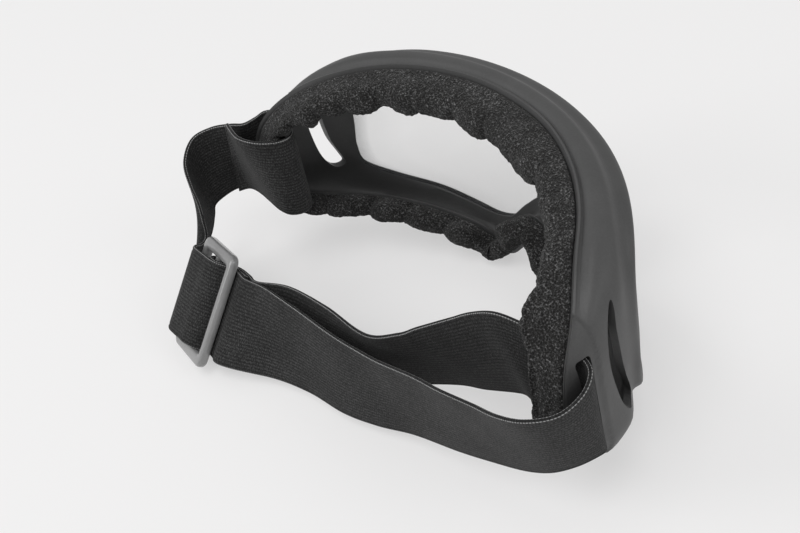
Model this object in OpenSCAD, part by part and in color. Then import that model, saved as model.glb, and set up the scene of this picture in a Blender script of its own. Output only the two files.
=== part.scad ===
/* [Overall size] */
// Width of the frame across its rear ends
goggle_w = 175; // [165:1:182]
// Height of the frame from the brow rim to the cheek rims
goggle_h = 82; // [78:1:86]
// Angle by which the worn axes tip back when it stands on its nose rim and slider
rest_tilt = 8.4; // [7:0.1:10]
// Height of the lens centre above the surface that it stands on
lens_lift = 39.41; // [39:0.01:40]

/* [Lens] */
// Radius of the lens front, seen from above
lens_r = 99.5; // [98:0.5:104]
// Radius of the lens front, seen from the side
lens_side_r = 190; // [170:5:220]
// Thickness of the lens
lens_t = 2; // [1.6:0.1:2.2]

/* [Frame] */
// Thickness of the frame's side wall
wall_t = 3.2; // [2.6:0.1:3.6]
// Width of the front rim from its outer edge to the clear lens
rim_w = 4.6; // [4.2:0.1:5.2]
// Thickness of the rear flange lip
lip_t = 2.2; // [1.8:0.1:2.6]
// Length of the strap slot
slot_h = 37; // [36.5:0.1:38]
// Width of the strap slot
slot_w = 5.5; // [5:0.1:6]

/* [Face foam] */
// Depth of the foam behind the flange at the brow
foam_d = 13; // [11:0.5:14]
// Height of the waves along the foam's inner edge
foam_wave = 1.5; // [0.5:0.1:2]

/* [Strap] */
// Width of the elastic strap
strap_w = 35; // [33:0.5:36]
// Thickness of the elastic strap
strap_t = 1.5; // [1.2:0.1:1.7]

/* [Slider] */
// Length of the slider, along its bars
slider_l = 46; // [44:0.5:48]
// Width of the slider, across its bars
slider_w = 27; // [25:0.5:29]
// Thickness of the slider
slider_t = 3.6; // [3.2:0.1:4]

/* [Hidden] */
grow_z = goggle_h / 82;

// One row for each station of the left half, from the top centre round to the nose.
// Front rim x and z, rear flange x, y and z, turn of the flange, width of the flange,
// bulge of the outer wall, height of the front lip over the lens
half_ring = [
    [0, 39.7, 0, 15.8, 42.2, 0, 12, 2.2, 2.6],
    [18, 39.7, 19, 18, 42.2, 5, 12, 2.2, 2.6],
    [36, 39.5, 37, 25.2, 41.8, 12, 12, 2.4, 2.6],
    [52, 38.6, 52, 35.5, 40.2, 22, 11.5, 2.8, 2.4],
    [64.5, 35.8, 65, 49, 36.5, 36, 10.5, 3.2, 2],
    [73, 29.3, 75, 59.5, 29.5, 52, 8.5, 2.8, 1.4],
    [77, 17.8, 81.5, 68.5, 20, 66, 6, 1.8, 0.8],
    [78.3, 5.5, 85, 73, 7.5, 72, 7, 1.4, 0.8],
    [78.8, -7.5, 85.5, 74, -7, 72, 7, 3, 1.6],
    [76, -18.5, 83, 67.5, -19.5, 62, 5.6, 6, 2.4],
    [65, -25.5, 75, 54.5, -26.5, 44, 7, 6, 2.4],
    [50, -29.5, 61, 41, -28, 28, 8, 4.5, 2],
    [37, -33, 46, 29.5, -31, 18, 8.5, 3, 1.6],
    [26, -34.5, 31, 19.5, -36, 12, 8.5, 2, 1.4],
    [16, -31, 17, 13, -41.5, 8, 8.5, 1.2, 1.4],
    [8.5, -22, 8.5, 11.5, -34, 4, 8, 0.8, 1.4],
    [0, -14.8, 0, 11, -21, 0, 8, 0.8, 1.4]
];

function unit(v) = v / norm(v);
function mix(a, b, t) = a + (b - a) * t;
function mirrored(row) = [-row[0], row[1], -row[2], row[3], row[4], -row[5], row[6], row[7], row[8]];
function whole(half) = concat(half, [for (i = [len(half) - 2:-1:1]) mirrored(half[i])]);
function spline(a, b, c, d, t) =
    0.5 * (2 * b + (c - a) * t + (2 * a - 5 * b + 4 * c - d) * t * t + (3 * b - a - 3 * c + d) * t * t * t);
function round_curve(p, steps) = let (n = len(p))
    [for (i = [0:n - 1]) for (k = [0:steps - 1])
        spline(p[(i + n - 1) % n], p[i], p[(i + 1) % n], p[(i + 2) % n], k / steps)];
function open_curve(p, steps) = let (n = len(p)) concat(
    [for (i = [0:n - 2]) for (k = [0:steps - 1])
        spline(p[max(i - 1, 0)], p[i], p[i + 1], p[min(i + 2, n - 1)], k / steps)],
    [p[n - 1]]);

// The lens front is a torus about an upright axis behind the face
function lens_rho(z) = lens_r - lens_side_r + sqrt(lens_side_r * lens_side_r - z * z);
function lens_y(x, z) = lens_r - sqrt(pow(lens_rho(z), 2) - x * x);
function lens_back(x, z) = let (s = 0.01)
    unit([(lens_y(x - s, z) - lens_y(x + s, z)) / (2 * s), 1, (lens_y(x, z - s) - lens_y(x, z + s)) / (2 * s)]);
function on_lens(p, depth) = [p[0], lens_y(p[0], p[2]), p[2]] + depth * lens_back(p[0], p[2]);

// The ends of the frame keep their shape when the frame is made wider
function wider(x) = x + (goggle_w - 175) / 2 * max(-1, min(1, x / 66));

ring_steps = 4;
ring = [for (r = round_curve(whole(half_ring), ring_steps))
    [wider(r[0]), r[1] * grow_z, wider(r[2]), r[3], r[4] * grow_z, r[5], r[6], r[7], r[8]]];
ring_n = len(ring);
function ring_row(i) = ring[(i + ring_n) % ring_n];
function front_at(i) = let (r = ring_row(i)) [r[0], lens_y(r[0], r[1]), r[1]];
function rear_at(i) = let (r = ring_row(i)) [r[2], r[3], r[4]];
function front_in(i) = let (r = ring_row(i))
    unit(cross(lens_back(r[0], r[1]), unit(front_at(i + 1) - front_at(i - 1))));
function rear_out(i) = let (a = ring_row(i)[5]) [-sin(a), cos(a), 0];
function rear_in(i) = unit(cross(rear_out(i), unit(rear_at(i + 1) - rear_at(i - 1))));
function wall_foot(i) = rear_at(i) - lip_t * rear_out(i) + 1.6 * rear_in(i);
function wall_in(i) = unit(cross(unit(wall_foot(i) - front_at(i)), unit(front_at(i + 1) - front_at(i - 1))));

function puff(t) = 1 - pow(2 * t - 1, 4);

// Ring of sections, each a closed list of points
module ring_solid(sections) {
    n = len(sections);
    m = len(sections[0]);
    points = [for (s = sections) for (p = s) p];
    faces = [for (i = [0:n - 1]) for (j = [0:m - 1])
        let (k = (j + 1) % m, a = i * m + j, b = i * m + k, c = ((i + 1) % n) * m + k, d = ((i + 1) % n) * m + j)
        for (f = [[c, b, a], [d, c, a]]) f];
    polyhedron(points, faces);
}

// The worn frame of axes, tipped and lifted to stand on the surface
module at_rest() {
    translate([-rest_x, -rest_y, lens_lift])
        rotate([rest_tilt, 0, 0])
            children();
}
rest_x = 9.44;
rest_y = 66.03;

groove_gap = 0.15;
groove_d = 2.6;
ledge_w = 1.8;
function frame_section(i) = let (
    f = front_at(i), m = front_in(i), b = lens_back(f[0], f[2]), r = rear_at(i), n = rear_out(i), u = rear_in(i),
    foot = wall_foot(i), in = wall_in(i), start = f + 2.5 * unit(foot - f), w = ring_row(i)[6],
    bulge = ring_row(i)[7], lip = ring_row(i)[8],
    base = 0.3 + 2.2 * pow(n[1], 2), inner = f + (rim_w + ledge_w) * m + (lens_t + 1.4) * b, hinge = r + w * u)
    concat(
        [start, f + 0.3 * m - 0.2 * b, f + 1.4 * m - lip * b, f + 3.2 * m - lip * b, f + rim_w * m - 0.7 * b,
         on_lens(f + rim_w * m, -groove_gap), on_lens(f + (rim_w - groove_d) * m, -groove_gap),
         on_lens(f + (rim_w - groove_d) * m, lens_t + groove_gap), on_lens(f + rim_w * m, lens_t + groove_gap), inner],
        [for (t = [0.35, 0.6, 0.85]) mix(start, foot, t) + in * (wall_t - bulge * puff(t))],
        [hinge - base * n, hinge, r, r - lip_t * 0.8 * n, foot],
        [for (t = [0.8, 0.6, 0.4, 0.2]) mix(start, foot, t) - in * bulge * puff(t)]);

// Crescent vent through each side wall, as y and z
vent_outline = [[46.4, 28.5], [47.3, 20], [46.8, 12], [45.2, 0], [42.4, -9], [41.6, -13], [45, -14.5],
    [49, -7.5], [51.4, 4], [52.2, 14], [51, 22], [48.5, 27.5]];
module vents() {
    for (side = [-1, 1])
        translate([side * wider(80), 0, 0])
            rotate([90, 0, 90])
                linear_extrude(30, center = true)
                    polygon(round_curve(vent_outline, 3));
}

slot_y = 61.8;
slot_z = 1.5;
slot_depth = 14;
module strap_slots() {
    for (side = [-1, 1])
        translate([side * wider(84), slot_y, slot_z])
            cube([slot_depth, slot_w, slot_h], center = true);
}

module frame() {
    color("dimgray") at_rest() difference() {
        ring_solid([for (i = [0:ring_n - 1]) frame_section(i)]);
        vents();
        strap_slots();
    }
}

lens_edge = rim_w - groove_d + 0.35;
lens_middle_z = 12;
lens_rings = [1, 0.86, 0.64, 0.4, 0.18];
module lens() {
    middle = [0, 0, lens_middle_z];
    edge = [for (i = [0:ring_n - 1]) front_at(i) + lens_edge * front_in(i)];
    n = len(edge);
    k = len(lens_rings);
    half = n * k;
    front = [for (s = lens_rings) for (p = edge) on_lens(mix(middle, p, s), 0)];
    back = [for (s = lens_rings) for (p = edge) on_lens(mix(middle, p, s), lens_t)];
    points = concat(front, back, [on_lens(middle, 0), on_lens(middle, lens_t)]);
    front_skin = [for (j = [0:k - 2]) for (i = [0:n - 1])
        let (a = j * n + i, b = j * n + (i + 1) % n, c = (j + 1) * n + (i + 1) % n, d = (j + 1) * n + i)
        for (f = [[a, b, c], [a, c, d]]) f];
    back_skin = [for (f = front_skin) [f[2] + half, f[1] + half, f[0] + half]];
    inner = (k - 1) * n;
    front_middle = [for (i = [0:n - 1]) [inner + i, inner + (i + 1) % n, 2 * half]];
    back_middle = [for (i = [0:n - 1]) [half + inner + (i + 1) % n, half + inner + i, 2 * half + 1]];
    side = [for (i = [0:n - 1]) let (j = (i + 1) % n)
        for (f = [[j, i, half + i], [j, half + i, half + j]]) f];
    color("whitesmoke", 0.4) at_rest()
        polyhedron(points, concat(front_skin, back_skin, front_middle, back_middle, side));
}

// How much thicker the foam is at each station, where it bulges or is pressed flat
foam_swell = concat([for (i = [0:26]) 0], [2, -3.5, -3.5, -2.5, 0]);
foam_extra = round_curve(foam_swell, ring_steps);
function foam_lump(i) = foam_wave * (sin(i * 360 / ring_n * 23) + 0.6 * sin(i * 360 / ring_n * 37 + 50));
function foam_depth(z) = 1 - 0.35 * min(1, max(0, -z / 25));
foam_outline = [[2, 0.3], [1.6, 4.5], [2.2, 9.5], [4.2, 12.3], [7.5, 13], [11, 12], [12.6, 8.5], [12.4, 4], [11, 0.3]];
function foam_section(i) = let (
    r = rear_at(i), n = rear_out(i), u = rear_in(i), w = ring_row(i)[6], lump = foam_lump(i), q = foam_outline,
    d = foam_d * (0.8 + 0.2 * n[1]) * foam_depth(r[2]) + foam_extra[(i + ring_n) % ring_n])
    [for (j = [len(q) - 1:-1:0]) let (
        across = mix(q[j][0], q[j][0] * w / 12, q[j][0] > 3 ? 1 : 0),
        share = (j > 3 && j < 8) ? 1 : 0)
        r + u * (across + share * lump) + n * (0.3 + (q[j][1] - 0.3) * d / 13 + (j > 2 && j < 7 ? lump * 0.5 : 0))];
module foam() {
    color("black") at_rest()
        ring_solid([for (i = [0:ring_n - 1]) foam_section(i)]);
}

// Slider pose: its centre, and its turns about X, Y and Z
slider_at = [75.6, 113.7, -38];
slider_turn = [40, 12, -2];
function turned(v) = let (
    a = slider_turn[0], b = slider_turn[1], c = slider_turn[2],
    p = [v[0], v[1] * cos(a) - v[2] * sin(a), v[1] * sin(a) + v[2] * cos(a)],
    q = [p[0] * cos(b) + p[2] * sin(b), p[1], p[2] * cos(b) - p[0] * sin(b)])
    [q[0] * cos(c) - q[1] * sin(c), q[0] * sin(c) + q[1] * cos(c), q[2]];
bars_up = turned([0, 0, 1]);
bars_lean = [bars_up[0] / bars_up[2], bars_up[1] / bars_up[2]];
function by_slider(rows) = [for (r = rows) concat(slider_at + turned([r[0], r[1], 0]), bars_lean)];

// The strap is one strip. Each row is a point of its centre line and the lean of its upper edge
far_loop_rows = [
    [102.3, 81, -4.4, -0.08, -0.1], [99.6, 78, -2.8, -0.15, -0.04], [95.5, 76.8, -0.8, -0.1, 0.05],
    [90, 77, 1.2, -0.05, 0.15], [84, 77.2, 2.2, 0, 0.2], [77, 77.4, 2.6, 0, 0.22], [71.6, 76.2, 2.4, 0, 0.15],
    [68, 73.4, 1.9, 0, 0.05], [66.6, 69, 1.6, 0, 0], [68, 64.6, 1.5, 0, 0], [72.8, 62, 1.5, 0, 0],
    [80, 61.5, 1.5, 0, 0], [85.6, 61.8, 1.5, 0, 0], [89.4, 64.2, 1, -0.05, 0], [92.8, 67.6, -0.6, -0.15, 0]];
far_run_rows = [
    [97, 71.7, -2.5, -0.22, 0], [102.3, 76.2, -4, -0.2, -0.09], [105.9, 82.2, -5.5, -0.08, -0.1],
    [107.8, 88, -8, -0.03, 0], [107, 93.2, -13, -0.18, 0.1], [105, 96.5, -20, -0.3, 0.03],
    [102.6, 99.8, -28.5, -0.28, -0.17], [99.9, 104.2, -36.2, -0.12, -0.42], [95.6, 108.6, -42.2, 0.1, -0.68]];
turn_rows = by_slider([[17.2, 0.8], [14, 4.4], [10.5, 5.8], [6.5, 5.6], [2.5, 5], [-1.5, 4.6], [-5, 2.7],
    [-7.2, -0.6], [-10, -2.9], [-14, -3]]);
outer_rows = concat(by_slider([[-20, -3.3]]), [
    [39.4, 104.6, -35.5, 0.19, -0.4], [22.4, 100.2, -34.4, 0.12, -0.22], [4.5, 97.4, -33, 0.12, -0.15],
    [-8.5, 93.8, -31.6, 0.17, -0.04], [-21.4, 89.8, -28.9, 0.24, 0.1], [-39.5, 86.3, -23, 0.34, 0.17],
    [-54, 84.4, -17, 0.36, 0.26], [-67.5, 82.4, -11, 0.3, 0.32], [-78.3, 81, -4.8, 0.19, 0.4],
    [-86, 77.6, 0, 0.07, 0.46]]);
near_turn_rows = [
    [-90.1, 71.5, 2, -0.04, 0.42], [-89.8, 65.6, 2, -0.04, 0.25], [-86.4, 62, 1.7, 0, 0.08], [-80, 61.5, 1.7, 0, 0],
    [-72.5, 61.8, 1.4, 0.08, 0], [-64, 62.9, 1.2, 0.25, 0.04]];
inner_rows = concat([
    [-56, 65, 0.8, 0.4, 0.08], [-48.5, 65.6, -3.2, 0.5, 0.22], [-41.8, 67.4, -8, 0.56, 0.35],
    [-29.8, 71.2, -16.5, 0.48, 0.46], [-20.4, 74.8, -22.1, 0.27, 0.5], [-5.8, 82.2, -28.6, 0.1, 0.36],
    [16, 92, -32.9, 0.22, -0.17], [38.7, 99.6, -36.7, 0.3, -0.55]],
    by_slider([[-20, -7.6]]));
sewn_rows = by_slider([[-14, -7.1], [-8, -6.7], [-3, -4.5], [0.5, -3.1], [3.2, -1.6], [3.7, 0.4], [2.3, 2.3],
    [0, 2.8], [-2.3, 2.3], [-3.5, 0.2], [-4.8, -2.7], [-8.5, -4.9], [-12, -5.1], [-15.5, -5.1]]);

strap_steps = 4;
strap_parts = [far_loop_rows, far_run_rows, turn_rows, outer_rows, near_turn_rows, inner_rows, sewn_rows];
strap_line = open_curve(
    [for (part = strap_parts) for (r = part) [wider(r[0]), r[1], r[2], r[3], r[4]]], strap_steps);
function rows_before(k) = k == 0 ? 0 : rows_before(k - 1) + len(strap_parts[k - 1]);
function strip_point(i) = let (r = strap_line[i]) [r[0], r[1], r[2]];
function strip_way(i) = let (last = len(strap_line) - 1)
    unit(strip_point(min(i + 1, last)) - strip_point(max(i - 1, 0)));
function strip_up(i) = let (r = strap_line[i]) unit([r[3], r[4], 1]);
function strip_section(i) = let (
    c = strip_point(i), w = strip_up(i) * strap_w / 2, h = unit(cross(strip_way(i), strip_up(i))) * strap_t / 2)
    [c + w + h, c + w - h, c - w - h, c - w + h];

// Stretch of the strap between two stations, with flat ends
module strip(first, last) {
    sections = [for (i = [first:last]) strip_section(i)];
    n = len(sections);
    points = [for (s = sections) for (p = s) p];
    skin = [for (i = [0:n - 2]) for (j = [0:3])
        let (a = i * 4 + j, b = i * 4 + (j + 1) % 4, c = (i + 1) * 4 + (j + 1) % 4, d = (i + 1) * 4 + j)
        for (f = [[a, b, c], [a, c, d]]) f];
    e = (n - 1) * 4;
    caps = [[2, 1, 0], [3, 2, 0], [e, e + 1, e + 2], [e, e + 2, e + 3]];
    polyhedron(points, concat(skin, caps));
}

module strap_stretch(k) {
    last = k == len(strap_parts) - 1 ? len(strap_line) - 1 : rows_before(k + 1) * strap_steps;
    color("darkslategray") at_rest() strip(rows_before(k) * strap_steps, last);
}
module strap_far_loop() { strap_stretch(0); }
module strap_far_run() { strap_stretch(1); }
module strap_slider_turn() { strap_stretch(2); }
module strap_outer_run() { strap_stretch(3); }
module strap_near_turn() { strap_stretch(4); }
module strap_inner_run() { strap_stretch(5); }
module strap_sewn_loop() { strap_stretch(6); }

// Slider with a round centre bar, its bars upright
rail_w = 3.8;
bar_d = 3;
corner_r = 3.5;
window_r = 1;
end_w = (slider_l - strap_w - 1) / 2;
module rounded_plate(w, l, r, t) {
    rotate([90, 0, 0]) linear_extrude(t, center = true) {
        square([w - 2 * r, l], center = true);
        square([w, l - 2 * r], center = true);
        for (x = [-1, 1], z = [-1, 1])
            translate([x * (w / 2 - r), z * (l / 2 - r)])
                circle(r, $fn = 40);
    }
}
module slider() {
    color("slategray") at_rest()
        translate([wider(slider_at[0]), slider_at[1], slider_at[2]]) rotate(slider_turn) {
            difference() {
                rounded_plate(slider_w, slider_l, corner_r, slider_t);
                rounded_plate(slider_w - 2 * rail_w, slider_l - 2 * end_w, window_r, slider_t + 1);
            }
            cylinder(h = slider_l - 2 * end_w + 1, d = bar_d, center = true, $fn = 32);
        }
}

frame();
lens();
foam();
strap_far_loop();
strap_far_run();
strap_slider_turn();
strap_outer_run();
strap_near_turn();
strap_inner_run();
strap_sewn_loop();
slider();
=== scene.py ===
import math
import bpy
import bmesh
from mathutils import Matrix, Vector, noise


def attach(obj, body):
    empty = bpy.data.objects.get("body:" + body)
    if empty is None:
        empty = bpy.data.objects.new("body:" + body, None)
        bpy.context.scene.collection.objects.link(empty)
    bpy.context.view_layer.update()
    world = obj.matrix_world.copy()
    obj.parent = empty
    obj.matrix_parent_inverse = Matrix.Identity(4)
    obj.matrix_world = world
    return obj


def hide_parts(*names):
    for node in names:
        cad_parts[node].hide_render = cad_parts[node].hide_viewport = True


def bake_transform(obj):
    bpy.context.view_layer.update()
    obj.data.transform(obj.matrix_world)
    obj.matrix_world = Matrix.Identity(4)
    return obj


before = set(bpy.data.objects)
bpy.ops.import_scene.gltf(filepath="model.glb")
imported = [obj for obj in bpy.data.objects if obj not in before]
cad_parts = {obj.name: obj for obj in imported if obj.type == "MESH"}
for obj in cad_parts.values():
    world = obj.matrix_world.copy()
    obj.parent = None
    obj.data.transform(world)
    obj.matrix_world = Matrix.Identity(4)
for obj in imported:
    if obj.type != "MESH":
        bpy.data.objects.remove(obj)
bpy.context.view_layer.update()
print("frame loaded:", ", ".join(sorted(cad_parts)))

# Shapes are worked out in millimetres on the worn axes: the lens front centre is at
# the origin, +X is the wearer's left, -Y is ahead. The goggles rest tipped back
mm = 0.001
stance = {"tilt": 8.4, "move": (-9.44, -66.03, 39.41)}
wornToRest = (Matrix.Scale(mm, 4) @ Matrix.Translation(stance["move"])
              @ Matrix.Rotation(math.radians(stance["tilt"]), 4, "X"))


def mix(a, b, t):
    return a + (b - a) * t


def clamp(value):
    return min(1, max(0, value))


# Camera, at the photograph's angle, in the worn axes
viewpoint = {
    "target": (5.23, 64.82, -3.82), "back": (-0.647, 0.334, 0.685), "up": (0.499, -0.494, 0.712),
    "distance": 366.4, "lens": 48.99, "sensor": 36, "nearest": 10,
}


def placeCamera():
    data = bpy.data.cameras.new("camera")
    data.lens = viewpoint["lens"]
    data.sensor_width = viewpoint["sensor"]
    data.clip_start = viewpoint["nearest"] * mm
    camera = bpy.data.objects.new("camera", data)
    bpy.context.scene.collection.objects.link(camera)
    turn = wornToRest.to_3x3().normalized()
    back = (turn @ Vector(viewpoint["back"])).normalized()
    right = (turn @ Vector(viewpoint["up"])).cross(back).normalized()
    place = Matrix((right, back.cross(right), back)).transposed().to_4x4()
    place.translation = wornToRest @ Vector(viewpoint["target"]) + back * viewpoint["distance"] * mm
    camera.matrix_world = place
    bpy.context.scene.camera = camera


# Floor and lamps, in metres and watts. A lamp is its name, place, size and strength. The
# floor and the world are paler to the camera than to what they light
studio = {
    "floorSize": 8.0, "floorColour": (0.86, 0.855, 0.855, 1), "ownLight": 0.55, "world": 0.55,
    "paleTo": ("Is Camera Ray", "Is Glossy Ray", "Is Transmission Ray"),
    "lamps": [
        ("softAbove", (-0.2, 0.3, 1.5), 1.0, 7.5),
        ("softFront", (-1.2, -0.8, 1.0), 0.8, 4.0),
        ("softBehind", (0.8, 1.1, 0.9), 0.7, 7.0),
    ],
}


def floorMaterial():
    m = Finish("paleFloor", {"Base Color": studio["floorColour"], "Roughness": 0.9,
                             "Specular IOR Level": 0.1})
    seen = [m.node("ShaderNodeLightPath", output=ray) for ray in studio["paleTo"]]
    share = m.maths("MINIMUM", seen[0] + seen[1] + seen[2], 1.0) * studio["ownLight"]
    pale = m.node("ShaderNodeEmission", None, {"Color": studio["floorColour"], "Strength": 1.0})
    plain = Value(m, m.shader.outputs[0])
    mixed = m.node("ShaderNodeMixShader", None, {0: share, 1: plain, 2: pale})
    m.links.new(mixed.socket, m.nodes["Material Output"].inputs["Surface"])
    return m


def buildStudio():
    bm = bmesh.new()
    bmesh.ops.create_grid(bm, x_segments=2, y_segments=2, size=studio["floorSize"] / 2)
    mesh = bpy.data.meshes.new("floor")
    bm.to_mesh(mesh)
    bm.free()
    floor = bpy.data.objects.new("floor", mesh)
    bpy.context.scene.collection.objects.link(floor)
    mesh.materials.append(floorMaterial().material)
    world = bpy.data.worlds.new("studio")
    world.use_nodes = True
    nodes, links = world.node_tree.nodes, world.node_tree.links
    ray, share = nodes.new("ShaderNodeLightPath"), nodes.new("ShaderNodeMapRange")
    share.inputs["To Min"].default_value = studio["world"]
    share.inputs["To Max"].default_value = studio["floorColour"][0]
    links.new(ray.outputs["Is Camera Ray"], share.inputs["Value"])
    links.new(share.outputs["Result"], nodes["Background"].inputs["Strength"])
    nodes["Background"].inputs["Color"].default_value = (1, 1, 1, 1)
    bpy.context.scene.world = world
    for name, place, size, watts in studio["lamps"]:
        lamp = bpy.data.lights.new(name, "AREA")
        lamp.shape = "DISK"
        lamp.size = size
        lamp.energy = watts
        holder = bpy.data.objects.new(name, lamp)
        turn = (-Vector(place)).to_track_quat("-Z", "Y").to_matrix().to_4x4()
        holder.matrix_world = Matrix.Translation(place) @ turn
        bpy.context.scene.collection.objects.link(holder)
    bpy.context.scene.view_settings.view_transform = "Standard"


# A socket that sums like a number, and a material whose nodes come from one method
class Value:
    def __init__(self, finish, socket):
        self.finish = finish
        self.socket = socket

    def maths(self, operation, *values):
        return self.finish.maths(operation, *values)

    def __add__(self, other):
        return self.maths("ADD", self, other)

    def __radd__(self, other):
        return self.maths("ADD", other, self)

    def __mul__(self, other):
        return self.maths("MULTIPLY", self, other)

    def __rmul__(self, other):
        return self.maths("MULTIPLY", other, self)

    def __truediv__(self, other):
        return self.maths("DIVIDE", self, other)

    def __rtruediv__(self, other):
        return self.maths("DIVIDE", other, self)


class Finish:
    def __init__(self, name, constants):
        self.material = bpy.data.materials.new(name)
        self.material.use_nodes = True
        self.nodes = self.material.node_tree.nodes
        self.links = self.material.node_tree.links
        self.shader = self.nodes["Principled BSDF"]
        for key, value in constants.items():
            self.shader.inputs[key].default_value = value

    def node(self, kind, settings=None, values=None, output=0):
        made = self.nodes.new(kind)
        for key, value in (settings or {}).items():
            if key == "stops":
                ramp = made.color_ramp.elements
                while len(ramp) < len(value):
                    ramp.new(0.5)
                for element, (place, colour) in zip(ramp, value):
                    element.position = place
                    element.color = colour
            else:
                setattr(made, key, value)
        for key, value in (values or {}).items():
            if isinstance(value, Value):
                self.links.new(value.socket, made.inputs[key])
            else:
                made.inputs[key].default_value = value
        return Value(self, made.outputs[output])

    def maths(self, operation, *values):
        return self.node("ShaderNodeMath", {"operation": operation}, dict(enumerate(values)))

    def feed(self, key, value):
        self.links.new(value.socket, self.shader.inputs[key])

    def place(self):
        return self.node("ShaderNodeTexCoord", output="Object")

    def attribute(self, name):
        return self.node("ShaderNodeAttribute", {"attribute_name": name}, output="Fac")

    def noise(self, scale, detail, roughness=0.5):
        values = {"Vector": self.place(), "Scale": scale, "Detail": detail, "Roughness": roughness}
        return self.node("ShaderNodeTexNoise", None, values, "Fac")

    def ramp(self, factor, *stops):
        return self.node("ShaderNodeValToRGB", {"stops": stops}, {"Fac": factor}, "Color")

    def bump(self, height, distance, strength):
        values = {"Height": height, "Distance": distance, "Strength": strength}
        self.feed("Normal", self.node("ShaderNodeBump", None, values))


def grey(value, warm=0.0):
    return (value * (1 + warm), value, value * (1 - warm), 1)


placeCamera()
buildStudio()
print("camera and studio ready")


# Curves through rows of numbers, closed round the ring or open along the strap
def splineRow(rows, i, t, closed):
    n = len(rows)
    a, b, c, d = (rows[k % n] if closed else rows[min(max(k, 0), n - 1)] for k in (i - 1, i, i + 1, i + 2))
    return [0.5 * (2 * q + (r - p) * t + (2 * p - 5 * q + 4 * r - s) * t * t
                   + (3 * q - p - 3 * r + s) * t ** 3)
            for p, q, r, s in zip(a, b, c, d)]


def closedCurve(rows, steps):
    return [splineRow(rows, i, k / steps, True) for i in range(len(rows)) for k in range(steps)]


def openCurve(rows, steps):
    curve = [splineRow(rows, i, k / steps, False) for i in range(len(rows) - 1) for k in range(steps)]
    return curve + [rows[-1]]


# Corners of a rounded rectangle: the side of each axis, and the angle its round starts at
corners = ((1, 1, 0), (-1, 1, 90), (-1, -1, 180), (1, -1, 270))


# Extrudes a loop from section to section. A closed sweep ends on its first section,
# and an open one is filled at both ends
def sweep(sections, closed, lengths=None, across=None):
    bm = bmesh.new()
    number = bm.verts.layers.int.new("number")
    along = bm.verts.layers.float.new("along")
    side = bm.verts.layers.float.new("across")
    verts = [bm.verts.new(wornToRest @ Vector(p)) for p in sections[0]]
    for j, vert in enumerate(verts):
        vert[number] = j
        vert[side] = across[j] if across else 0
        vert[along] = lengths[0] if lengths else 0
    edges = [bm.edges.new((vert, verts[(j + 1) % len(verts)])) for j, vert in enumerate(verts)]
    ends = [edges]
    for k, section in enumerate(sections[1:] + (sections[:1] if closed else []), 1):
        made = bmesh.ops.extrude_edge_only(bm, edges=edges)["geom"]
        edges = [g for g in made if isinstance(g, bmesh.types.BMEdge)]
        for vert in (g for g in made if isinstance(g, bmesh.types.BMVert)):
            vert.co = wornToRest @ Vector(section[vert[number]])
            vert[along] = lengths[k % len(sections)] if lengths else 0
    if closed:
        bmesh.ops.remove_doubles(bm, verts=bm.verts, dist=1e-6)
    else:
        for loop in ends + [edges]:
            bmesh.ops.edgeloop_fill(bm, edges=loop)
    bmesh.ops.recalc_face_normals(bm, faces=bm.faces)
    return bm


def newPiece(bm, name, body, finish):
    mesh = bpy.data.meshes.new(name)
    bm.to_mesh(mesh)
    bm.free()
    mesh.polygons.foreach_set("use_smooth", [True] * len(mesh.polygons))
    mesh.materials.append(finish.material)
    piece = bpy.data.objects.new(name, mesh)
    bpy.context.scene.collection.objects.link(piece)
    if body:
        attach(piece, body)
    return piece


def applyModifiers(piece):
    graph = bpy.context.evaluated_depsgraph_get()
    mesh = bpy.data.meshes.new_from_object(piece.evaluated_get(graph))
    piece.modifiers.clear()
    piece.data = mesh


def subdivide(piece, levels):
    modifier = piece.modifiers.new("smooth", "SUBSURF")
    modifier.levels = levels
    modifier.render_levels = levels


# One row for each station of the left half, from the top centre round to the nose:
# front rim x and z, rear flange x, y and z, turn and width of the flange, bulge of
# the outer wall, height of the front lip
ringShape = {
    "rows": [
        [0, 39.7, 0, 15.8, 42.2, 0, 12, 2.2, 2.6], [18, 39.7, 19, 18, 42.2, 5, 12, 2.2, 2.6],
        [36, 39.5, 37, 25.2, 41.8, 12, 12, 2.4, 2.6], [52, 38.6, 52, 35.5, 40.2, 22, 11.5, 2.8, 2.4],
        [64.5, 35.8, 65, 49, 36.5, 36, 10.5, 3.2, 2], [73, 29.3, 75, 59.5, 29.5, 52, 8.5, 2.8, 1.4],
        [77, 17.8, 81.5, 68.5, 20, 66, 6, 1.8, 0.8], [78.3, 5.5, 85, 73, 7.5, 72, 7, 1.4, 0.8],
        [78.8, -7.5, 85.5, 74, -7, 72, 7, 3, 1.6], [76, -18.5, 83, 67.5, -19.5, 62, 5.6, 6, 2.4],
        [65, -25.5, 75, 54.5, -26.5, 44, 7, 6, 2.4], [50, -29.5, 61, 41, -28, 28, 8, 4.5, 2],
        [37, -33, 46, 29.5, -31, 18, 8.5, 3, 1.6], [26, -34.5, 31, 19.5, -36, 12, 8.5, 2, 1.4],
        [16, -31, 17, 13, -41.5, 8, 8.5, 1.2, 1.4], [8.5, -22, 8.5, 11.5, -34, 4, 8, 0.8, 1.4],
        [0, -14.8, 0, 11, -21, 0, 8, 0.8, 1.4]],
    "steps": 8, "rimWidth": 4.6, "rimFront": 0.7, "lipReach": (1.4, 3.2), "wallStart": 2.5,
    "wallThickness": 3.2, "lipThickness": 2.2, "footInset": 1.6, "hingeBase": 0.3, "hingeSwell": 2.2,
    "grooveDepth": 2.6, "grooveGap": 0.15, "ledgeWidth": 1.8, "ledgeBack": 1.4,
    "lensRadius": 99.5, "lensSideRadius": 190, "lensThickness": 2.0,
}


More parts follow.
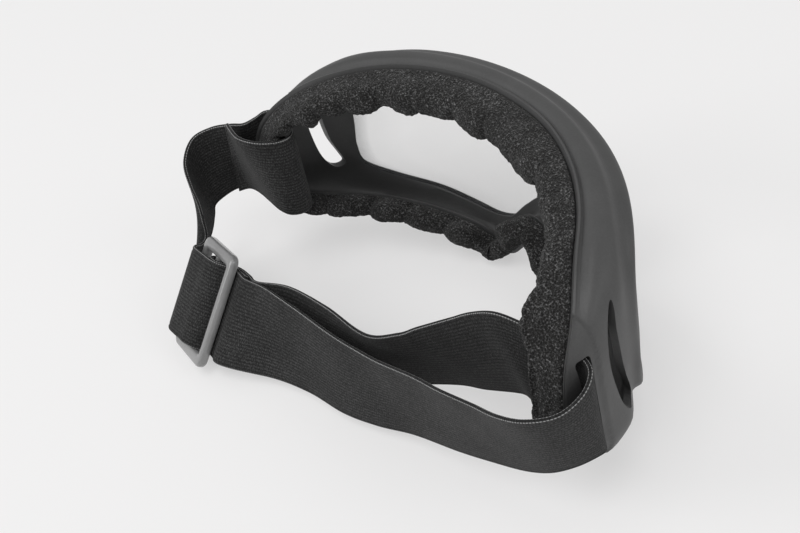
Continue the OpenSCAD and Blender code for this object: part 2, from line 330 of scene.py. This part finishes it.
class Ring:
    def __init__(self, steps):
        half = ringShape["rows"]
        signs = [-1, 1, -1, 1, 1, -1, 1, 1, 1]
        other = [[s * v for s, v in zip(signs, row)] for row in half[-2:0:-1]]
        self.rows = closedCurve(half + other, steps)
        self.count = len(self.rows)

    def row(self, i):
        return self.rows[i % self.count]

    def front(self, i):
        x, z = self.row(i)[:2]
        return Vector((x, lensDepth(x, z), z))

    def rear(self, i):
        return Vector(self.row(i)[2:5])

    def frontIn(self, i):
        f = self.front(i)
        return lensBack(f.x, f.z).cross((self.front(i + 1) - self.front(i - 1)).normalized()).normalized()

    def rearOut(self, i):
        turn = math.radians(self.row(i)[5])
        return Vector((-math.sin(turn), math.cos(turn), 0))

    def rearIn(self, i):
        return self.rearOut(i).cross((self.rear(i + 1) - self.rear(i - 1)).normalized()).normalized()


def lensDepth(x, z):
    big, side = ringShape["lensRadius"], ringShape["lensSideRadius"]
    return big - math.sqrt((big - side + math.sqrt(side * side - z * z)) ** 2 - x * x)


# Way out of the lens's back, from the slope over a small step
def lensBack(x, z):
    s = 0.01
    return Vector(((lensDepth(x - s, z) - lensDepth(x + s, z)) / (2 * s), 1,
                   (lensDepth(x, z - s) - lensDepth(x, z + s)) / (2 * s))).normalized()


def onLens(p, depth):
    return Vector((p.x, lensDepth(p.x, p.z), p.z)) + depth * lensBack(p.x, p.z)


# Soft frame. A section runs from the front lip over the lens groove and the ledge behind
# it, back along the wall's inside to the flange, and forward along its outside
def frameSection(ring, i):
    s = ringShape
    f, m, r, n, u = ring.front(i), ring.frontIn(i), ring.rear(i), ring.rearOut(i), ring.rearIn(i)
    b = lensBack(f.x, f.z)
    width, bulge, lip = ring.row(i)[6:9]
    foot = r - s["lipThickness"] * n + s["footInset"] * u
    way = (foot - f).normalized()
    inward = way.cross((ring.front(i + 1) - ring.front(i - 1)).normalized()).normalized()
    start = f + s["wallStart"] * way
    rim, groove = s["rimWidth"], s["rimWidth"] - s["grooveDepth"]
    behind = s["lensThickness"] + s["grooveGap"]
    base = s["hingeBase"] + s["hingeSwell"] * n.y ** 2
    hinge = r + width * u

    def wall(t, inside):
        swell = bulge * (1 - (2 * t - 1) ** 4)
        return start.lerp(foot, t) + inward * ((s["wallThickness"] if inside else 0) - swell)

    return ([start, f + 0.3 * m - 0.2 * b]
            + [f + reach * m - lip * b for reach in s["lipReach"]]
            + [f + rim * m - s["rimFront"] * b,
               onLens(f + rim * m, -s["grooveGap"]), onLens(f + groove * m, -s["grooveGap"]),
               onLens(f + groove * m, behind), onLens(f + rim * m, behind),
               f + (rim + s["ledgeWidth"]) * m + (s["lensThickness"] + s["ledgeBack"]) * b]
            + [wall(t, True) for t in (0.2, 0.4, 0.6, 0.85)]
            + [hinge - base * n, hinge, r, r - s["lipThickness"] * 0.8 * n, foot]
            + [wall(t, False) for t in (0.85, 0.7, 0.5, 0.3, 0.15)])


# Openings through both sides, as outlines of y and z that are cut over a reach of x
ventShape = {
    "outline": [[46.4, 28.5], [47.3, 20], [46.8, 12], [45.2, 0], [42.4, -9], [41.6, -13], [45, -14.5],
                [49, -7.5], [51.4, 4], [52.2, 14], [51, 22], [48.5, 27.5]],
    "steps": 6, "reach": (65, 95),
}
slotShape = {"y": 61.8, "z": 1.5, "width": 5.5, "height": 37, "reach": (77, 91), "corner": 1.2}


def cutter(name, outline, reach, side):
    sections = [[(side * x, y, z) for y, z in outline] for x in reach]
    bm = sweep(sections, False)
    mesh = bpy.data.meshes.new(name)
    bm.to_mesh(mesh)
    bm.free()
    tool = bpy.data.objects.new(name, mesh)
    bpy.context.scene.collection.objects.link(tool)
    return tool


def slotOutline():
    s = slotShape
    half, tall, r = s["width"] / 2, s["height"] / 2, s["corner"]
    return [(s["y"] + a * (half - r) + r * math.cos(t), s["z"] + b * (tall - r) + r * math.sin(t))
            for a, b, first in corners
            for t in (math.radians(first + step) for step in (0, 30, 60, 90))]


frameFinish = {"colour": 0.052, "light": 0.07, "grain": 1500, "sharp": 32}
channelShape = {
    "front": 57, "top": 31.5, "bottom": -22.5, "corner": 6, "edge": 0.7, "depth": 0.55,
    "inside": 64, "margin": 5, "cuts": 2,
}


# The strap's channel, a shallow step in the outer side of both rear ends
def sinkChannels(piece):
    s = channelShape
    restToWorn = wornToRest.inverted()
    bm = bmesh.new()
    bm.from_mesh(piece.data)

    def share(vert):
        p = restToWorn @ vert.co
        ahead = max(0, s["front"] + s["corner"] - p.y)
        over = max(0, p.z + s["corner"] - s["top"], s["bottom"] + s["corner"] - p.z)
        away = (math.hypot(ahead, over) - s["corner"]) / s["edge"]
        return 0 if abs(p.x) < s["inside"] else 1 - clamp(away)

    def near(face):
        p = restToWorn @ face.calc_center_median()
        return (abs(p.x) > s["inside"] and p.y > s["front"] - s["margin"]
                and s["bottom"] - s["margin"] < p.z < s["top"] + s["margin"])

    edges = [edge for edge in bm.edges if any(near(face) for face in edge.link_faces)]
    bmesh.ops.subdivide_edges(bm, edges=edges, cuts=s["cuts"], use_grid_fill=True)
    bm.normal_update()
    # Only what looks sideways, away from the face, is sunk
    for vert in bm.verts:
        outward = vert.normal.x * math.copysign(1, vert.co.x - wornToRest.translation.x)
        depth = s["depth"] * share(vert) * clamp(4 * outward - 0.6)
        vert.co -= vert.normal * depth * mm
    bm.to_mesh(piece.data)
    bm.free()


def frameMaterial():
    m = Finish("softFrame", {"Specular IOR Level": 0.4})
    cloud = m.noise(45, 4)
    grain = m.noise(frameFinish["grain"], 2)
    m.feed("Base Color", m.ramp(cloud * 0.7 + grain * 0.3, (0.35, grey(frameFinish["colour"])),
                                (0.68, grey(frameFinish["light"]))))
    m.feed("Roughness", m.noise(120, 3) * 0.14 + 0.42)
    m.bump(grain + m.noise(420, 3) * 0.8, 0.00006, 0.5)
    return m


def makeFrame():
    ring = Ring(ringShape["steps"])
    bm = sweep([frameSection(ring, i) for i in range(ring.count)], True)
    piece = newPiece(bm, "softFrame", "goggles", frameMaterial())
    subdivide(piece, 1)
    applyModifiers(piece)
    sinkChannels(piece)
    openings = [("vent", closedCurve(ventShape["outline"], ventShape["steps"]), ventShape["reach"]),
                ("slot", slotOutline(), slotShape["reach"])]
    for side in (-1, 1):
        for name, outline, reach in openings:
            tool = cutter(name, outline, reach, side)
            cut = piece.modifiers.new(name, "BOOLEAN")
            cut.object = tool
            cut.operation = "DIFFERENCE"
            cut.solver = "EXACT"
            applyModifiers(piece)
            bpy.data.objects.remove(tool)
    piece.data.set_sharp_from_angle(angle=math.radians(frameFinish["sharp"]))
    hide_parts("frame")
    print("frame:", len(piece.data.polygons), "faces")


# Clear lens, from the middle out along its back and in again along its front. It shows
# more towards its edge: each pair is a share of the way out and how much it covers
lensShape = {
    "middle": 12, "hub": 0.02, "edge": 2.35, "rings": 22, "sharp": 40,
    "cover": ((0.8, 0.09), (0.93, 0.13), (0.97, 0.3), (1.0, 0.4)),
}


def lensMaterial():
    m = Finish("clearLens", {"Base Color": (0.2, 0.205, 0.21, 1), "Roughness": 0.04,
                             "Specular IOR Level": 0.8, "IOR": 1.58})
    stops = [(way, grey(cover)) for way, cover in lensShape["cover"]]
    m.feed("Alpha", m.ramp(m.attribute("along"), *stops))
    return m


def makeLens():
    s = lensShape
    ring = Ring(ringShape["steps"])
    edge = [ring.front(i) + s["edge"] * ring.frontIn(i) for i in range(ring.count)]
    middle = Vector((0, 0, s["middle"]))
    shares = [s["hub"] + (1 - s["hub"]) * k / s["rings"] for k in range(s["rings"] + 1)]
    back = [[onLens(middle.lerp(p, way), ringShape["lensThickness"]) for p in edge] for way in shares]
    front = [[onLens(middle.lerp(p, way), 0) for p in edge] for way in reversed(shares)]
    bm = sweep(back + front, False, shares + shares[::-1])
    piece = newPiece(bm, "clearLens", "goggles", lensMaterial())
    piece.data.set_sharp_from_angle(angle=math.radians(s["sharp"]))
    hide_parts("lens")
    print("lens:", len(piece.data.polygons), "faces")


# Face foam, a ring of lumps with a rough, open surface. Its outline is across the flange
# and back from it, at full width and depth. Swell adds depth at some stations. Waves are
# their count round the ring, share of the height and start, and roughness is the height
# and fineness of a noise and its shift
foamShape = {
    "width": 12, "depth": 13, "sink": 0.3, "steps": 27, "outlineSteps": 8,
    "outline": [[2, -0.15], [1.6, 4.5], [2.2, 9.5], [4.2, 12.3], [7.5, 13], [11, 12], [12.6, 8.5],
                [12.4, 4], [11, -0.15]],
    "swell": [0] * 27 + [2, -3.5, -3.5, -2.5, 0],
    "wave": 1.5, "waves": [(23, 1, 0), (37, 0.6, 0.87)],
    "lumps": 38, "lumpHeight": 3.3, "lumpRound": 0.42, "lumpDrift": 0.28, "lumpSpread": 0.5,
    "noseCorner": (17, -41.5), "calm": 22, "rooted": 4,
    "tip": (16, 22, -39), "relaxed": 14, "relaxRounds": 30,
    "rough": [(0.32, 0.75, 0), (0.2, 1.9, 5), (0.35, 0.22, 0)],
}


# Height of the lumps at a station, which drift, differ, and are lower at the nose corners
def lumpAt(share, x, z):
    s = foamShape
    turn = share * s["lumps"] + s["lumpDrift"] * noise.noise(Vector((share * 40, 3, 7)))
    lump = abs(math.sin(math.pi * turn)) ** s["lumpRound"] - 0.8
    lump *= s["lumpHeight"] * (0.85 + s["lumpSpread"] * noise.noise(Vector((share * 60, 9, 1))))
    return lump * min(1, 0.25 + math.hypot(abs(x) - s["noseCorner"][0], z - s["noseCorner"][1]) / s["calm"])


def foamSection(ring, i, extra, outline):
    s = foamShape
    r, n, u, width = ring.rear(i), ring.rearOut(i), ring.rearIn(i), ring.row(i)[6]
    share = i / ring.count
    wave = s["wave"] * sum(size * math.sin(share * math.tau * count + start)
                           for count, size, start in s["waves"])
    depth = s["depth"] * (0.8 + 0.2 * n.y) * (1 - 0.35 * clamp(-r.z / 25)) + extra[i][0]
    lump = lumpAt(share, r.x, r.z)
    raised = mix(0.6, 1.1, clamp(-r.z / 20))
    points = []
    for across, back in outline:
        inner, rear = clamp((across - 4) / 6), clamp((back - 4) / 6)
        a = mix(across, across * width / s["width"], clamp(across - 2.5))
        a += inner * (0.55 * wave * rear + lump * min(1, back / s["rooted"]))
        b = s["sink"] + (back - s["sink"]) * depth / s["depth"]
        b += rear * (0.25 * wave + raised * lump * min(1, across / 5))
        points.append(r + u * a + n * b)
    return points


foamFinish = {
    "fine": 2300, "pits": 1500, "deep": 0.003, "dark": 0.014, "warm": 0.04, "light": 0.038, "speck": 0.19,
}


def foamMaterial():
    s = foamFinish
    m = Finish("openFoam", {"Roughness": 0.95, "Specular IOR Level": 0.12, "Sheen Weight": 0.08,
                            "Sheen Roughness": 0.6})
    fine = m.noise(s["fine"], 3, 0.7)
    pits = m.node("ShaderNodeTexVoronoi", {"feature": "F1"},
                  {"Vector": m.place(), "Scale": s["pits"]}, "Distance")
    cloud = m.noise(160, 3)
    mottle = fine * 0.7 + pits * 0.3 + cloud * 0.15
    m.feed("Base Color", m.ramp(mottle, (0.4, grey(s["deep"])), (0.55, grey(s["dark"], s["warm"])),
                                (0.65, grey(s["light"])), (0.79, grey(s["speck"]))))
    m.bump(fine + pits * 0.8, 0.0004, 0.9)
    return m


# The tight turn beside the nose is smoothed, as foam there bunches without a crease
def relaxTips(bm):
    s = foamShape
    tips = [wornToRest @ Vector((side * s["tip"][0], *s["tip"][1:])) for side in (-1, 1)]
    tight = [v for v in bm.verts if min((v.co - tip).length for tip in tips) < s["relaxed"] * mm]
    for _ in range(s["relaxRounds"]):
        bmesh.ops.smooth_vert(bm, verts=tight, factor=0.5,
                              use_axis_x=True, use_axis_y=True, use_axis_z=True)


# Small bumps all over, which fade out where the foam is glued to the flange
def roughen(bm, outline):
    bm.normal_update()
    number = bm.verts.layers.int["number"]
    for vert in bm.verts:
        p = vert.co / mm
        free = clamp(outline[vert[number]][1] / foamShape["rooted"])
        rough = sum(height * noise.noise(p * fine + Vector((shift, shift, shift)))
                    for height, fine, shift in foamShape["rough"])
        vert.co += vert.normal * rough * free * mm


def makeFoam():
    s = foamShape
    ring = Ring(s["steps"])
    extra = closedCurve([[v] for v in s["swell"]], s["steps"])
    outline = closedCurve(s["outline"][::-1], s["outlineSteps"])
    bm = sweep([foamSection(ring, i, extra, outline) for i in range(ring.count)], True)
    relaxTips(bm)
    roughen(bm, outline)
    piece = newPiece(bm, "faceFoam", "goggles", foamMaterial())
    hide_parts("foam")
    print("foam:", len(piece.data.polygons), "faces")


# Slider pose, and rows of the strap given along the slider and out of it
sliderPose = {"at": (75.6, 113.7, -38), "turn": (40, 12, -2)}


def sliderTurn():
    x, y, z = (math.radians(v) for v in sliderPose["turn"])
    return Matrix.Rotation(z, 3, "Z") @ Matrix.Rotation(y, 3, "Y") @ Matrix.Rotation(x, 3, "X")


def bySlider(rows):
    turn, at = sliderTurn(), Vector(sliderPose["at"])
    up = turn @ Vector((0, 0, 1))
    return [list(at + turn @ Vector((a, b, 0))) + [up.x / up.z, up.y / up.z] for a, b in rows]


# The strap is one strip in stretches. Each row is a point of its centre line and the
# lean of its upper edge. Roll is where the thinner edge ends and the full thickness
# starts, and the edge's share of the thickness
strapShape = {
    "width": 35, "thickness": 1.5, "steps": 12, "roll": (1.6, 2.3, 0.8), "sharp": 50,
    "flapStart": 1.2, "turnMiddle": 5,
    "farLoop": [
        [102.3, 81, -4.4, -0.08, -0.1], [99.6, 78, -2.8, -0.15, -0.04], [95.5, 76.8, 0.2, -0.1, 0.05],
        [90, 77.2, 3.2, -0.05, 0.1], [84, 77.8, 4.6, 0, 0.14], [77, 78.2, 5, 0, 0.16], [71.4, 76.8, 4.4, 0, 0.1],
        [67.8, 73.6, 3.2, 0, 0.03], [66.6, 69, 2, 0, 0], [68, 64.6, 1.5, 0, 0], [72.8, 62, 1.5, 0, 0],
        [80, 61.5, 1.5, 0, 0], [85.6, 61.8, 1.5, 0, 0], [89.4, 64.2, 1, -0.05, 0], [92.8, 67.6, -0.6, -0.15, 0]],
    "farRun": [
        [97, 71.7, -2.5, -0.22, 0], [102.3, 76.2, -4, -0.2, -0.09], [105.9, 82.2, -5.5, -0.08, -0.1],
        [107.8, 88, -8, -0.03, 0], [106.4, 92.3, -13.1, -0.14, 0.15], [104.1, 95.3, -20.2, -0.25, 0.1],
        [102.4, 99.5, -28.5, -0.26, -0.15], [99.9, 104.2, -36.2, -0.12, -0.42], [95.6, 108.6, -42.2, 0.1, -0.68]],
    "sliderTurn": bySlider([[17.2, 0.8], [14, 4.4], [10.5, 5.8], [6.5, 5.6], [2.5, 5], [-1.5, 4.6], [-5, 2.7],
                            [-7.2, -0.6], [-10, -2.9], [-14, -3]]),
    "outerRun": bySlider([[-20, -3.3]]) + [
        [39.4, 104.6, -35.5, 0.19, -0.4], [22.4, 100.2, -34.4, 0.12, -0.22], [4.5, 97.4, -33, 0.12, -0.15],
        [-8.5, 93.8, -31.6, 0.17, -0.04], [-21.4, 89.8, -28.9, 0.24, 0.1], [-39.5, 86.3, -23, 0.34, 0.17],
        [-54, 84.4, -17, 0.36, 0.26], [-67.5, 82.4, -11, 0.3, 0.32], [-78.3, 81, -4.8, 0.19, 0.4],
        [-86, 77.6, 0, 0.07, 0.46]],
    "nearTurn": [
        [-90.1, 71.5, 2, -0.04, 0.42], [-89.8, 65.2, 2, -0.04, 0.25], [-86.2, 61, 1.7, 0, 0.08],
        [-80, 60.4, 1.7, 0, 0], [-72.5, 61.2, 1.4, 0.08, 0], [-64, 62.9, 1.2, 0.25, 0.04]],
    "innerRun": [
        [-56, 65, 0.8, 0.4, 0.08], [-48.5, 65.6, -3.2, 0.5, 0.22], [-41.8, 67.4, -8, 0.56, 0.35],
        [-29.8, 71.2, -16.5, 0.48, 0.46], [-20.4, 74.8, -22.1, 0.27, 0.5], [-5.8, 82.2, -28.6, 0.1, 0.36],
        [16, 92, -32.9, 0.22, -0.17], [38.7, 99.6, -36.7, 0.3, -0.55]] + bySlider([[-20, -7.6]]),
    "sewnLoop": bySlider([[-14, -7.1], [-8, -6.7], [-3, -4.5], [0.5, -3.1], [3.2, -1.6], [3.7, 0.4], [2.3, 2.3],
                          [0, 2.8], [-2.3, 2.3], [-3.5, 0.2], [-4.8, -2.7], [-8.5, -4.9], [-12, -5.1],
                          [-15.5, -5.1]]),
}


class Strap:
    order = ["farLoop", "farRun", "sliderTurn", "outerRun", "nearTurn", "innerRun", "sewnLoop"]

    def __init__(self):
        rows = [row for name in self.order for row in strapShape[name]]
        self.line = openCurve(rows, strapShape["steps"])
        self.length = [0]
        for a, b in zip(self.line, self.line[1:]):
            self.length.append(self.length[-1] + (Vector(b[:3]) - Vector(a[:3])).length)

    # Row k of a stretch, counted on through the next ones
    def station(self, name, k=0):
        before = sum(len(strapShape[n]) for n in self.order[:self.order.index(name)])
        return min(len(self.line) - 1, round((before + k) * strapShape["steps"]))

    def axes(self, i):
        last = len(self.line) - 1
        way = (Vector(self.line[min(i + 1, last)][:3]) - Vector(self.line[max(i - 1, 0)][:3])).normalized()
        up = Vector((*self.line[i][3:5], 1)).normalized()
        return Vector(self.line[i][:3]), way, up, way.cross(up).normalized()

    def section(self, i, profile):
        at, way, up, out = self.axes(i)
        return [at + up * a + out * b for a, b in profile]


def strapProfile():
    half, thick = strapShape["width"] / 2, strapShape["thickness"] / 2
    rollStart, rollEnd, rollShare = strapShape["roll"]
    side = [(half - thick + thick * math.cos(t), thick * math.sin(t))
            for t in (math.radians(v) for v in (-90, -50, -18, 18, 50, 90))]
    flat = [(half - rollStart, thick * rollShare), (half - rollEnd, thick)]
    flat += [(a, thick) for a in (10, 5, 0, -5, -10)]
    flat += [(rollEnd - half, thick), (rollStart - half, thick * rollShare)]
    return side + flat + [(-a, -b) for a, b in side] + [(-a, -b) for a, b in flat]


strap = Strap()


# Rib and pick are the pitch of the weave across and along the strap. The edge highlight is
# a pale line painted near each edge, a painted highlight where the rounded edge catches light
strapFinish = {
    "colour": 0.019, "dark": 0.25, "light": 0.07, "rib": 1.35, "pick": 0.8, "fuzz": 1700,
    "edgeHighlight": 0.3, "edgeHighlightIn": 0.27, "edgeHighlightHalf": 0.11,
}


def strapMaterial():
    s = strapFinish
    m = Finish("wovenElastic", {"Roughness": 0.85, "Specular IOR Level": 0.2, "Sheen Weight": 0.05,
                                "Sheen Roughness": 0.5})
    along, across = m.attribute("along"), m.attribute("across")
    rib = m.maths("ABSOLUTE", m.maths("SINE", across * (math.pi / s["rib"])))
    shift = m.maths("FLOOR", across / s["rib"]) * 0.5
    pick = m.maths("ABSOLUTE", m.maths("SINE", (along / s["pick"] + shift) * math.pi))
    fuzz = m.noise(s["fuzz"], 3, 0.7)
    cloud = m.noise(60, 3)
    weave = rib * 0.2 + pick * 0.12 + fuzz * 1.2
    # Painted highlight: a pale line along the rounded shoulder of each edge of the strap, where the edge would
    # catch light
    line = strapShape["width"] / 2 - s["edgeHighlightIn"]
    edge = m.maths("COMPARE", m.maths("ABSOLUTE", across), line, s["edgeHighlightHalf"])
    cloth = m.ramp(weave * 0.8 + cloud * 0.2, (0.52, grey(s["colour"] * s["dark"])),
                   (0.74, grey(s["colour"])), (1.0, grey(s["light"])))
    pale = m.ramp(pick * 0.5 + fuzz * 0.6, (0.3, grey(s["colour"])), (0.8, grey(s["edgeHighlight"])))
    m.feed("Base Color", m.node("ShaderNodeMix", {"data_type": "RGBA"}, {0: edge, 6: cloth, 7: pale}, 2))
    m.bump(weave, 0.00022, 0.8)
    return m


def makeStretch(name, node, body, material, first, last):
    profile = strapProfile()
    chosen = range(first, last + 1)
    sections = [strap.section(i, profile) for i in chosen]
    bm = sweep(sections, False, [strap.length[i] for i in chosen], [a for a, b in profile])
    piece = newPiece(bm, name, body, material)
    piece.data.set_sharp_from_angle(angle=math.radians(strapShape["sharp"]))
    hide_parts(node)
    return piece


def restPoint(i):
    return tuple(wornToRest @ Vector(strap.line[i][:3]))


# Each stretch is swept between two rows of the strap. The far loop and the near turn ride the goggles and the
# sewn loop rides the strap loop. The stretches between them belong to no body
def makeStrap():
    material = strapMaterial()
    s = strap.station
    start = s("farLoop", strapShape["flapStart"])
    makeStretch("strapFarLoop", "strap_far_loop", "goggles", material, start, s("farRun"))
    run = makeStretch("strapFarRun", "strap_far_run", None, material, s("farRun"), s("sliderTurn"))
    restPoint(s("farRun", 2))
    restPoint(s("farRun", 7.4))
    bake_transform(run)
    middle = s("sliderTurn", strapShape["turnMiddle"])
    left = makeStretch("strapTurnFar", "strap_slider_turn", None, material, s("sliderTurn"), middle)
    restPoint(s("sliderTurn"))
    restPoint(s("sliderTurn", 3))
    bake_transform(left)
    right = makeStretch("strapTurnNear", "strap_slider_turn", None, material, middle, s("outerRun"))
    restPoint(s("sliderTurn", 8.6))
    restPoint(s("outerRun"))
    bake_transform(right)
    outer = makeStretch("strapOuterRun", "strap_outer_run", None, material, s("outerRun"), s("nearTurn"))
    restPoint(s("outerRun"))
    restPoint(s("outerRun", 3.4))
    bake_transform(outer)
    makeStretch("strapNearTurn", "strap_near_turn", "goggles", material, s("nearTurn"), s("innerRun"))
    inner = makeStretch("strapInnerRun", "strap_inner_run", None, material, s("innerRun"), s("sewnLoop"))
    restPoint(s("innerRun", 5.6))
    restPoint(s("sewnLoop"))
    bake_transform(inner)
    makeStretch("strapSewnLoop", "strap_sewn_loop", "strap_loop", material, s("sewnLoop"), len(strap.line) - 1)
    print("strap: eight stretches,", round(strap.length[-1]), "mm long")


# Thread that closes the two sewn ends, in rows across the strap. Each end has the
# strap's rows that it is sewn at
stitchShape = {
    "pitch": 2.3, "length": 1.7, "thick": 0.42, "reach": 15, "proud": 0.1,
    "flapRows": (1.6, 2.1), "loopRows": (0.3, 0.7), "dark": 0.03, "light": 0.09,
}


def threadMaterial(name):
    m = Finish(name, {"Specular IOR Level": 0.3})
    m.feed("Base Color", m.ramp(m.noise(2500, 2), (0.3, grey(stitchShape["dark"])),
                                (0.7, grey(stitchShape["light"]))))
    m.feed("Roughness", m.noise(1500, 2) * 0.2 + 0.5)
    return m


def makeStitches(name, body, stretch, rows):
    bm = bmesh.new()
    s = stitchShape
    count = int(2 * s["reach"] / s["pitch"])
    size = Matrix.Diagonal((s["thick"] / 2, s["thick"] / 2, s["length"] / 2, 1))
    for row in rows:
        at, way, up, out = strap.axes(strap.station(stretch, row))
        turn = (wornToRest.to_3x3() @ Matrix((way, out, up)).transposed()).to_4x4()
        for k in range(count + 1):
            across = (k - count / 2) * s["pitch"]
            place = wornToRest @ (at + up * across + out * (strapShape["thickness"] / 2 + s["proud"]))
            stitch = Matrix.Translation(place) @ turn @ size
            bmesh.ops.create_icosphere(bm, subdivisions=2, radius=1, matrix=stitch)
    newPiece(bm, name, body, threadMaterial(name))
    print(name + ":", len(rows) * (count + 1), "stitches")


# Slider, a ring of rounded section with a round bar, in its own axes: x along the strap,
# y out of the plate and z up the bars. The bar runs on into the ring's ends
sliderShape = {
    "length": 46, "width": 27, "thick": 3.6, "rail": 3.8, "end": 5, "outerCorner": 3.5, "innerCorner": 1,
    "bar": 3, "barSides": 32, "barInset": 1.6, "edge": 1.35, "cornerStep": 15, "edgeStep": 18, "sharp": 50,
}


def sliderMaterial():
    m = Finish("sliderGloss", {"Specular IOR Level": 0.6, "Coat Roughness": 0.1})
    m.feed("Base Color", m.ramp(m.noise(90, 3), (0.3, grey(0.19)), (0.7, grey(0.24))))
    m.feed("Roughness", m.noise(200, 3) * 0.12 + 0.18)
    m.feed("Coat Weight", m.noise(70, 2) * 0.3 + 0.45)
    m.bump(m.noise(900, 2), 0.00003, 0.4)
    return m


# Section of the ring between a point of its outer edge and one of its inner edge
def railSection(outer, inner):
    deep, edge = sliderShape["thick"] / 2, sliderShape["edge"]
    across, length = (inner - outer).normalized(), (inner - outer).length
    section = []
    for a, b, first in corners:
        for step in range(0, 91, sliderShape["edgeStep"]):
            t = math.radians(first + step)
            x = (length - edge if a > 0 else edge) + edge * math.cos(t)
            y = b * (deep - edge) + edge * math.sin(t)
            section.append(outer + across * x + Vector((0, y, 0)))
    return section


def ringSections():
    s = sliderShape
    half, tall, big, small = s["width"] / 2, s["length"] / 2, s["outerCorner"], s["innerCorner"]
    sections = []
    for a, b, first in corners:
        for step in range(0, 91, s["cornerStep"]):
            t = math.radians(first + step)
            way = Vector((math.cos(t), 0, math.sin(t)))
            outer = Vector((a * (half - big), 0, b * (tall - big))) + big * way
            inner = Vector((a * (half - s["rail"] - small), 0, b * (tall - s["end"] - small))) + small * way
            sections.append(railSection(outer, inner))
    return sections


def makeSlider():
    s = sliderShape
    turn, at = sliderTurn(), Vector(sliderPose["at"])
    bm = sweep([[at + turn @ p for p in section] for section in ringSections()], True)
    place = Matrix.Translation(wornToRest @ at) @ (wornToRest.to_3x3() @ turn).to_4x4()
    bmesh.ops.create_cone(bm, cap_ends=True, segments=s["barSides"], radius1=s["bar"] / 2,
                          radius2=s["bar"] / 2, depth=s["length"] - s["barInset"] * s["end"], matrix=place)
    piece = newPiece(bm, "sliderBody", "slider", sliderMaterial())
    piece.data.set_sharp_from_angle(angle=math.radians(s["sharp"]))
    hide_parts("slider")
    print("slider:", len(piece.data.polygons), "faces")


makeFrame()
makeLens()
makeFoam()
makeStrap()
makeStitches("flapStitches", "goggles", "farLoop", stitchShape["flapRows"])
makeStitches("loopStitches", "strap_loop", "sewnLoop", stitchShape["loopRows"])
makeSlider()
